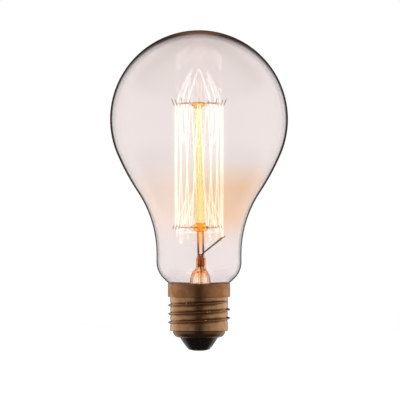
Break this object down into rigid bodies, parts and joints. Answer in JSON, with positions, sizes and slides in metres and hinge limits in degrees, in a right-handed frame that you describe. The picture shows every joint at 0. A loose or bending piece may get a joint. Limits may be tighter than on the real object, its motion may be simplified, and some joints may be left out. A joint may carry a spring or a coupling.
{
  "type": "filament lamp",
  "caption": "Clear pear-shaped filament lamp with a cage of hung filament strands, a glass rod stem and a brass screw cap.",
  "frame": {"origin": "centre of the flat face of the end contact, on the cap's axis", "axes": "+Z from the end contact up the cap's axis to the crown of the bulb, -Y towards the picture's camera"},
  "size_m": [0.075, 0.075, 0.135],
  "materials": {
    "bulb_glass": "clear blown glass, faintly smoked towards the crown",
    "stem_glass": "clear drawn glass tube, melted and pinched",
    "rod_glass": "solid glass rod, lit yellow from inside the cage",
    "button_glass": "amber glass bead, fire polished",
    "filament_wire": "fine coiled wire, glowing",
    "hook_wire": "drawn molybdenum wire, dull grey",
    "nickel_wire": "drawn nickel wire, darkened by heat",
    "seal_wire": "copper-clad wire, red where it is sealed in the glass",
    "copper_wire": "bare drawn copper",
    "fuse_metal": "fine bare fuse wire",
    "cap_brass": "rolled brass sheet with an antique brown patina",
    "insulator_glass": "opaque black glass",
    "contact_brass": "dark tarnished brass",
    "solder": "dull tin solder",
    "cement": "baked basing cement, matt and grainy"
  },
  "bodies": {
    "root": {"glass_envelope": "bulb_glass", "stem_flare": "stem_glass", "pump_tube": "stem_glass", "stem_pinch": "stem_glass", "support_rod": "rod_glass", "lower_button": "button_glass", "upper_button": "button_glass", "filament": "filament_wire", "upper_hook_1": "hook_wire", "upper_hook_2": "hook_wire", "upper_hook_3": "hook_wire", "upper_hook_4": "hook_wire", "upper_hook_5": "hook_wire", "upper_hook_6": "hook_wire", "upper_hook_7": "hook_wire", "upper_hook_8": "hook_wire", "upper_hook_9": "hook_wire", "lower_hook_1": "hook_wire", "lower_hook_2": "hook_wire", "lower_hook_3": "hook_wire", "lower_hook_4": "hook_wire", "lower_hook_5": "hook_wire", "lower_hook_6": "hook_wire", "lower_hook_7": "hook_wire", "lower_hook_8": "hook_wire", "inner_lead_front": "nickel_wire", "inner_lead_back": "nickel_wire", "seal_wire_front": "seal_wire", "seal_wire_back": "seal_wire", "centre_lead_upper": "copper_wire", "fuse_wire": "fuse_metal", "centre_lead_lower": "copper_wire", "side_lead": "copper_wire", "screw_shell": "cap_brass", "insulator": "insulator_glass", "centre_contact": "contact_brass", "contact_solder": "solder", "side_solder": "solder", "basing_cement": "cement"}
  },
  "joints": []
}
